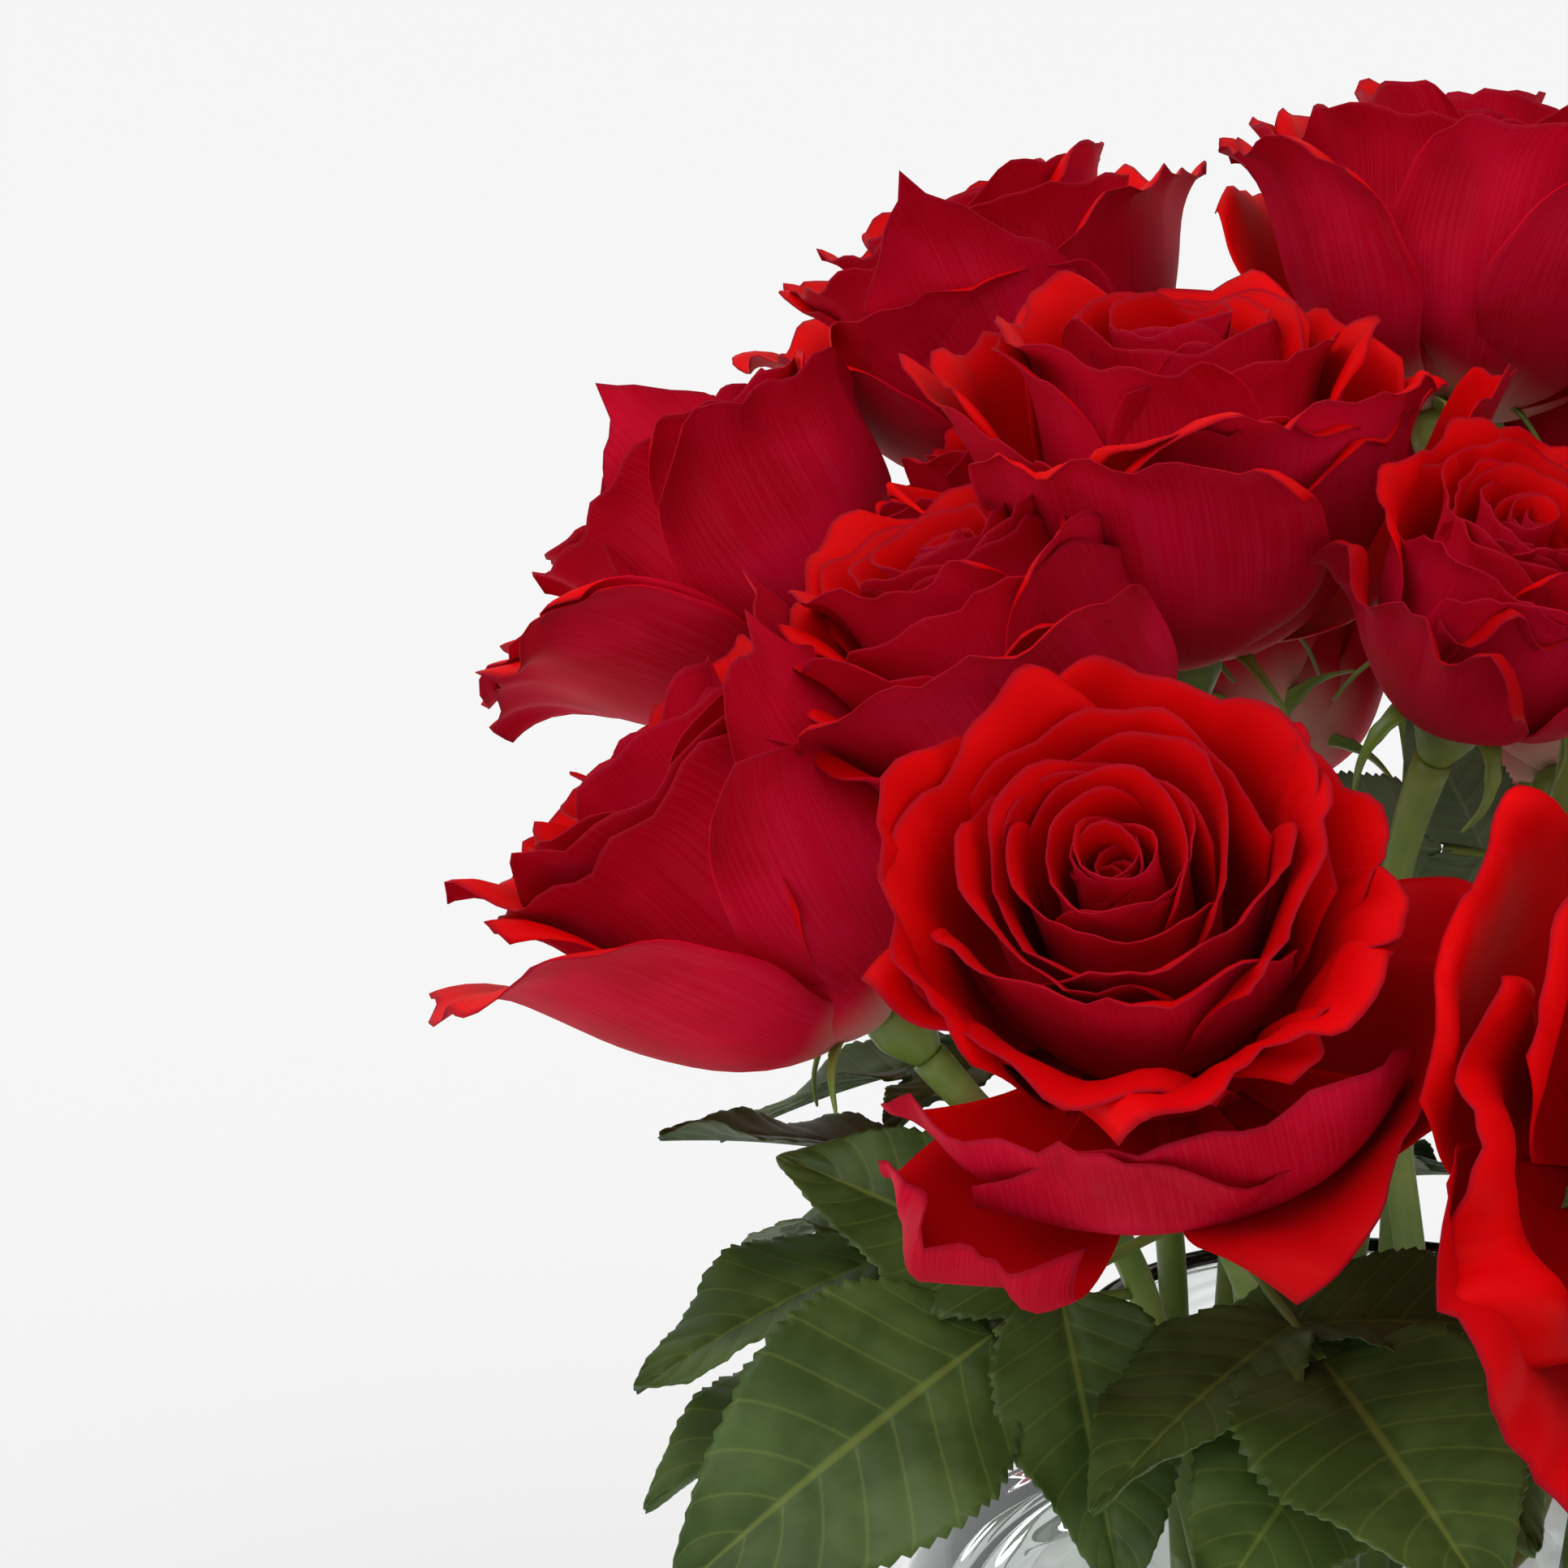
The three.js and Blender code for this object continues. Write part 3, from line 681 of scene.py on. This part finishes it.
# length in mm, the rest in metres and degrees
sepal = {"count": 5, "length": 27, "width": 3.3 * mm, "thickness": 0.6 * mm, "droop": 78, "turn": 22}


def sepalSheet(length, width, droop, azimuth, twist):
    # A narrow blade with a long tip and two small side lobes: its angle from the axis is integrated along it.
    v = np.linspace(0, 1, 26)[:, None]
    u = np.linspace(-1, 1, 9)[None, :]
    angle = np.radians(60 + droop * smooth(0.0, 0.9, v) + 8 * np.sin(7 * v + twist))
    step = length / 25
    r = 2.2 * mm + np.cumsum(np.sin(angle), axis=0) * step
    z = -1.5 * mm + np.cumsum(np.cos(angle), axis=0) * step
    half = width * (1 - v) ** 0.8 * (0.55 + 0.45 * np.sin(np.pi * np.clip(v / 0.5, 0, 1)))
    half = half * (1 + 0.5 * np.exp(-(((v - 0.55) / 0.05) ** 2))) + 0.25 * mm
    y = u * half + 1.5 * mm * np.sin(2.5 * v + twist) * v
    x = r - 0.35 * half * u * u * np.cos(angle)
    z = z + 0.35 * half * u * u * np.sin(angle)
    points = aboutAxis(x, y, z, azimuth)
    return points, u * np.ones_like(v), v * np.ones_like(u)


def makeStem(name, material):
    rose = roses[name]
    path, _ = stemPath(rose)
    swell = 1 + 0.22 * smooth(0.9, 1.0, np.linspace(0, 1, len(path)))
    parts = [tubeShell(path, bouquet["stemRadius"] * swell, 14, outer=1.0)]
    share = np.linspace(0, 1, 14)
    axis = rose["seat"] - rose["facing"] * (bouquet["hipLength"] * (1 - share))[:, None]
    hip = np.interp(share, [0, 0.2, 0.5, 0.8, 1], [2.9, 4.2, 6.0, 5.9, 4.6]) * mm
    parts.append(tubeShell(axis, hip, 16, outer=1.0))
    for k in range(sepal["count"]):
        wobble = rose["chance"].normal(0, 1, 3)
        length = (sepal["length"] + 3 * wobble[0]) * mm
        droop = rose.get("sepals", sepal["droop"]) + 14 * wobble[1]
        azimuth = 360 / sepal["count"] * k + sepal["turn"]
        sheet, u, v = sepalSheet(length, sepal["width"], droop, azimuth, wobble[2])
        parts.append(shell(toWorld(rose, sheet), sepal["thickness"], u, v))
    return makePiece(name + ".stem", parts, material, "stem_" + name)

# Each leaf: the stem it grows on and how far up it, its way out (azimuth, elevation), how much it droops, its
# length in mm and its turn about its stalk.
leaves = {
    "leaf_low_left": dict(stem="left", along=0.16, way=(-64, 8), droop=30, length=100),
    "leaf_front": dict(stem="front", along=0.41, way=(12, -4), droop=2, length=111, tilt=14),
    "leaf_under_front": dict(stem="left", along=0.48, way=(-88, 19), droop=7, length=76, tilt=8),
    "leaf_left_upper": dict(stem="left", along=0.55, way=(-64, 0), droop=18, length=86),
    "leaf_front_low": dict(stem="front", along=0.54, way=(-55, -5), droop=28, length=112, tilt=-46),
    "leaf_neck_front": dict(stem="front_right", along=0.39, way=(-36, 5), droop=29, length=91, tilt=-17),
    "leaf_neck_right": dict(stem="right", along=0.62, way=(82, 16), droop=20, length=60),
    "leaf_neck_gap": dict(stem="upper_side", along=0.82, way=(-108, 5), droop=5, length=62, tilt=87),
    "leaf_neck_back": dict(stem="back_left", along=0.6, way=(170, 18), droop=20, length=60),
    "leaf_right_front": dict(stem="right_front", along=0.12, way=(44, 16), droop=42, length=104),
    "leaf_right_low": dict(stem="right_front", along=0.4, way=(76, 8), droop=34, length=84),
    "leaf_right": dict(stem="right", along=0.1, way=(100, 14), droop=40, length=106),
    "leaf_right_back": dict(stem="right", along=0.38, way=(124, 4), droop=30, length=84),
    "leaf_back_right": dict(stem="back_right", along=0.1, way=(146, 14), droop=42, length=104),
    "leaf_back": dict(stem="back_right", along=0.4, way=(172, 8), droop=30, length=86),
    "leaf_back_left": dict(stem="back_left", along=0.12, way=(-170, 14), droop=42, length=104),
    "leaf_left_back": dict(stem="left_back", along=0.12, way=(-128, 12), droop=40, length=104),
    "leaf_left_behind": dict(stem="left_back", along=0.42, way=(-104, 0), droop=24, length=80),
}

leaflet = {
    "rows": 97,
    "columns": 17,
    "teeth": 24,
    "veins": 9,
    "thickness": 0.4 * mm,
    "wave": 1.7 * mm,
    "arch": 0.14,
    "fold": 0.2,
}

# shares of a leaf's length: its stalk, and the length and width of its end leaflet and of its pair
leafShares = {"stalk": 0.42, "end": (0.64, 0.48), "pair": (0.48, 0.36)}


def leafletSheet(size, width, phase):
    # A leaflet along +x: its half width follows an egg shape with saw teeth on the margin; it is folded up
    # along the midrib, arched down along its length, puckered between its side veins and waved towards the
    # margin.
    v = np.linspace(0, 1, leaflet["rows"])[:, None]
    u = np.linspace(-1, 1, leaflet["columns"])[None, :]
    egg = np.sin(np.pi * v**0.78) ** 0.75 * (1 - 0.3 * v) + 0.012
    saw = (v * leaflet["teeth"]) % 1.0
    tooth = 1 - 0.07 * (1 - saw) * smooth(0.04, 0.15, v)
    half = width / 2 * egg * np.where(np.abs(u) > 0.93, tooth, 1.0)
    y = u * half
    order = np.abs(((v - 0.19 * np.abs(u)) * leaflet["veins"] + 0.5) % 1.0 - 0.5) * 2
    groove = 0.5 * mm * (1 - smooth(0.0, 0.12, np.abs(u)))
    pucker = 0.45 * mm * smooth(0.0, 0.6, order) * smooth(0.0, 0.15, np.abs(u)) - groove
    wave = np.sin(9 * v + phase) + 0.5 * np.sin(17 * v - phase) * np.sign(u)
    wave = leaflet["wave"] * wave * np.abs(u) ** 1.6
    bow = 0.05 * size * np.sin(1.7 * phase) * v * v
    x = size * v * np.ones_like(u) + 0.4 * mm * np.abs(u)
    z = leaflet["fold"] * np.abs(y) + (pucker + wave) * smooth(0, 0.1, v) - leaflet["arch"] * size * v * v
    return np.stack([x, y + bow, z], -1), u * np.ones_like(v), v * np.ones_like(u)


def leafFrame(path, share, tilt, turn):
    # a place on the stalk and the axes of a leaflet there: along it, across it and out of its upper face
    step = int(share * (len(path) - 2))
    stalkWay = unit(path[step + 1] - path[step])
    level = unit(np.cross([0, 0, 1.0], stalkWay))
    side = level * math.cos(tilt) + np.cross(stalkWay, level) * math.sin(tilt)
    up = np.cross(stalkWay, side)
    along = stalkWay * math.cos(turn) + side * math.sin(turn)
    return path[step + 1], along, np.cross(up, along), up


def makeLeaf(name, material):
    leaf = leaves[name]
    _, bend = stemPath(roses[leaf["stem"]])
    position = leaf["along"] * 0.9 * (len(bend) - 1)
    whole = int(position)
    start = bend[whole] + (bend[whole + 1] - bend[whole]) * (position - whole)
    tangent = unit(bend[whole + 1] - bend[whole])
    way = direction(*leaf["way"])
    out = unit(way - (way @ tangent) * tangent)
    start = start + out * bouquet["stemRadius"] * 0.8
    length = leaf["length"] * mm
    stalk = length * leafShares["stalk"]
    fall = math.tan(math.radians(leaf["droop"])) * stalk * 0.35
    end = start + way * stalk - [0, 0, fall]
    middle = (start + end) / 2 + [0, 0, fall * 0.35]
    t = np.linspace(0, 1, 24)[:, None]
    path = start * (1 - t) ** 2 + 2 * middle * t * (1 - t) + end * t * t
    parts = [tubeShell(path, np.linspace(1.2, 0.7, 24) * mm, 8, outer=1.0)]

    tilt = math.radians(leaf.get("tilt", 0))

    def addLeaflet(share, turn, shares):
        origin, along, across, up = leafFrame(path, share, tilt, turn)
        sheet, u, v = leafletSheet(length * shares[0], length * shares[1], chance.uniform(0, 6.28))
        points = origin + sheet[..., :1] * along + sheet[..., 1:2] * across + sheet[..., 2:] * up
        # the grid's u runs across and v along, so the side that the cross product points to is the underside
        parts.append(shell(points[:, ::-1], leaflet["thickness"], u[:, ::-1], v, blade=1.0))

    addLeaflet(1.0, 0, leafShares["end"])
    for sign in (-1, 1):
        addLeaflet(0.72, sign * 1.1, leafShares["pair"])
    return makePiece(name + ".leaf", parts, material, name)

bowl = {
    "radius": (vaseHigh[0] - vaseLow[0]) / 2 * 1.004,
    "wall": 3.2 * mm,
    "floor": 8 * mm,
    "base": 46 * mm,
    "mouth": 60 * mm,
    "water": 118 * mm,
    "segments": 128,
}


def lathe(profile, segments):
    # a profile (radius, height) turned about Z; its first and last points lie on the axis
    ring = profile[1:-1]
    angle = np.linspace(0, 2 * np.pi, segments, endpoint=False)
    verts = np.stack(
        [
            ring[:, :1] * np.cos(angle)[None],
            ring[:, :1] * np.sin(angle)[None],
            ring[:, 1:] * np.ones((1, segments)),
        ],
        -1,
    ).reshape(-1, 3)
    index = np.arange(len(ring) * segments).reshape(len(ring), segments)
    nextSide = np.roll(index, -1, axis=1)
    quads = np.stack([index[:-1], nextSide[:-1], nextSide[1:], index[1:]], -1).reshape(-1, 4)
    count = len(verts)
    verts = np.concatenate([verts, [[0, 0, profile[0, 1]], [0, 0, profile[-1, 1]]]])
    low = np.stack([np.full(segments, count), nextSide[0], index[0]], -1)
    high = np.stack([index[-1], nextSide[-1], np.full(segments, count + 1)], -1)
    uv = np.zeros((len(verts), 2))
    return verts, (quads, low, high), uv, {}


def arc(radius, low, high, count, centre):
    start, end = math.asin((low - centre) / radius), math.asin((high - centre) / radius)
    angle = np.linspace(start, end, count)
    return np.stack([radius * np.cos(angle), centre + radius * np.sin(angle)], -1)


def makeVase(material):
    centre = math.sqrt(bowl["radius"] ** 2 - bowl["base"] ** 2)
    top = centre + math.sqrt(bowl["radius"] ** 2 - bowl["mouth"] ** 2)
    inner = bowl["radius"] - bowl["wall"]
    outside = arc(bowl["radius"], 0.6 * mm, top, 70, centre)
    inside = arc(inner, bowl["floor"] + 4 * mm, top, 66, centre)[::-1]
    lipAngle = np.linspace(0, np.pi, 9)[1:-1]
    lipWay = unit(outside[-1] - inside[0])
    lipUp = np.array([-lipWay[1], lipWay[0]])
    lipUp = lipUp if lipUp[1] > 0 else -lipUp
    lipCentre, lipRadius = (outside[-1] + inside[0]) / 2, np.linalg.norm(outside[-1] - inside[0]) / 2
    curve = np.cos(lipAngle)[:, None] * lipWay + np.sin(lipAngle)[:, None] * lipUp * 0.8
    lip = lipCentre + lipRadius * curve
    # the underside is hollowed by "kick" inside a flat ring, radius and height
    base, kick = bowl["base"], 0.8 * mm
    foot = np.array([[0, kick], [base - 6 * mm, kick], [base - 4.5 * mm, 0], [base - 0.8 * mm, 0]])
    share = np.linspace(0, 1, 10)[1:, None]
    floorEdge = inside[-1]
    rising = bowl["floor"] + (floorEdge[1] - bowl["floor"]) * (1 - share) ** 3
    floor = np.hstack([floorEdge[0] * (1 - share), rising])
    profile = np.concatenate([foot, outside, lip, inside, floor])
    return makePiece("vase.glass", [lathe(profile, bowl["segments"])], material, "vase")


def makeWater(material):
    centre = math.sqrt(bowl["radius"] ** 2 - bowl["base"] ** 2)
    inner = bowl["radius"] - bowl["wall"] - 0.15 * mm
    side = arc(inner, bowl["floor"] + 4.2 * mm, bowl["water"], 60, centre)
    edge = side[-1]
    meniscus = np.array([[edge[0] - 0.8 * mm, edge[1] - 0.6 * mm], [edge[0] - 3 * mm, edge[1] - 1.2 * mm]])
    share = np.linspace(0, 1, 10)[:-1, None]
    low = side[0]
    floor = np.hstack([low[0] * share, bowl["floor"] + 0.2 * mm + (low[1] - bowl["floor"]) * share**3])
    profile = np.concatenate([floor, side, meniscus, [[0, edge[1] - 1.2 * mm]]])
    return makePiece("vase.water", [lathe(profile, bowl["segments"])], material, "water")


def glassMaterial():
    # Soda-lime glass, blown and fire-polished: clear, with a bright rim
    material, shader = newMaterial("sodaLimeGlass", Roughness=0.0, IOR=1.5, **{"Transmission Weight": 1.0})
    shader.inputs["Base Color"].default_value = colour("#FAFDFC")
    return material


def waterMaterial():
    material, shader = newMaterial("vaseWater", Roughness=0.0, IOR=1.33, **{"Transmission Weight": 1.0})
    shader.inputs["Base Color"].default_value = colour("#F6FAF8")
    return material

petal, stemSkin, leafSkin = petalMaterial(), stemMaterial(), leafMaterial()
for name in roses:
    makeBloom(name, petal)
    makeStem(name, stemSkin)
print("roses made:", len(roses))
for name in leaves:
    makeLeaf(name, leafSkin)
print("leaves made:", len(leaves))
makeVase(glassMaterial())
makeWater(waterMaterial())
print("vase and water made")

studio = {
    "floorSize": 800.0,
    "floorColour": "#F4F4F4",
    "worldColour": "#FFFFFF",
    "worldStrength": 0.66,
    "lens": 88.9,
    "sensorWidth": 36,
    "cameraAt": (-0.116, -0.7115, 0.4298),
    "cameraTilt": 78,
    "lights": [
        # where the light comes from (azimuth, elevation), its spread in degrees and its strength
        dict(name="key", way=(-38, 48), spread=40, strength=1.3, tint="#FFFFFF"),
        dict(name="fill", way=(50, 40), spread=60, strength=0.3, tint="#FFFFFF"),
    ],
}


def makeFloor():
    half = studio["floorSize"] / 2
    mesh = bpy.data.meshes.new("floor")
    corners = [(-half, -half, 0), (half, -half, 0), (half, half, 0), (-half, half, 0)]
    mesh.from_pydata(corners, [], [(0, 1, 2, 3)])
    material, shader = newMaterial("floorPaper", Roughness=0.9, **{"Specular IOR Level": 0.1})
    shader.inputs["Base Color"].default_value = colour(studio["floorColour"])
    mesh.materials.append(material)
    floor = bpy.data.objects.new("floor", mesh)
    bpy.context.scene.collection.objects.link(floor)


def makeLights():
    for light in studio["lights"]:
        data = bpy.data.lights.new(light["name"], "SUN")
        data.angle = math.radians(light["spread"])
        data.energy = light["strength"]
        data.color = colour(light["tint"])[:3]
        lamp = bpy.data.objects.new(light["name"], data)
        lamp.rotation_euler = Vector(direction(*light["way"])).to_track_quat("Z", "Y").to_euler()
        lamp.location = direction(*light["way"]) * 2
        bpy.context.scene.collection.objects.link(lamp)
    world = bpy.data.worlds.new("studio")
    world.use_nodes = True
    background = world.node_tree.nodes["Background"]
    background.inputs["Color"].default_value = colour(studio["worldColour"])
    background.inputs["Strength"].default_value = studio["worldStrength"]
    bpy.context.scene.world = world


def makeCamera():
    # looks along +Y from a little above, close to the bouquet's left front
    data = bpy.data.cameras.new("camera")
    data.lens = studio["lens"]
    data.sensor_width = studio["sensorWidth"]
    camera = bpy.data.objects.new("camera", data)
    camera.location = studio["cameraAt"]
    camera.rotation_euler = (math.radians(studio["cameraTilt"]), 0, 0)
    bpy.context.scene.collection.objects.link(camera)
    bpy.context.scene.camera = camera


makeFloor()
makeLights()
makeCamera()
bpy.context.scene.view_settings.view_transform = "Standard"
print("studio set")
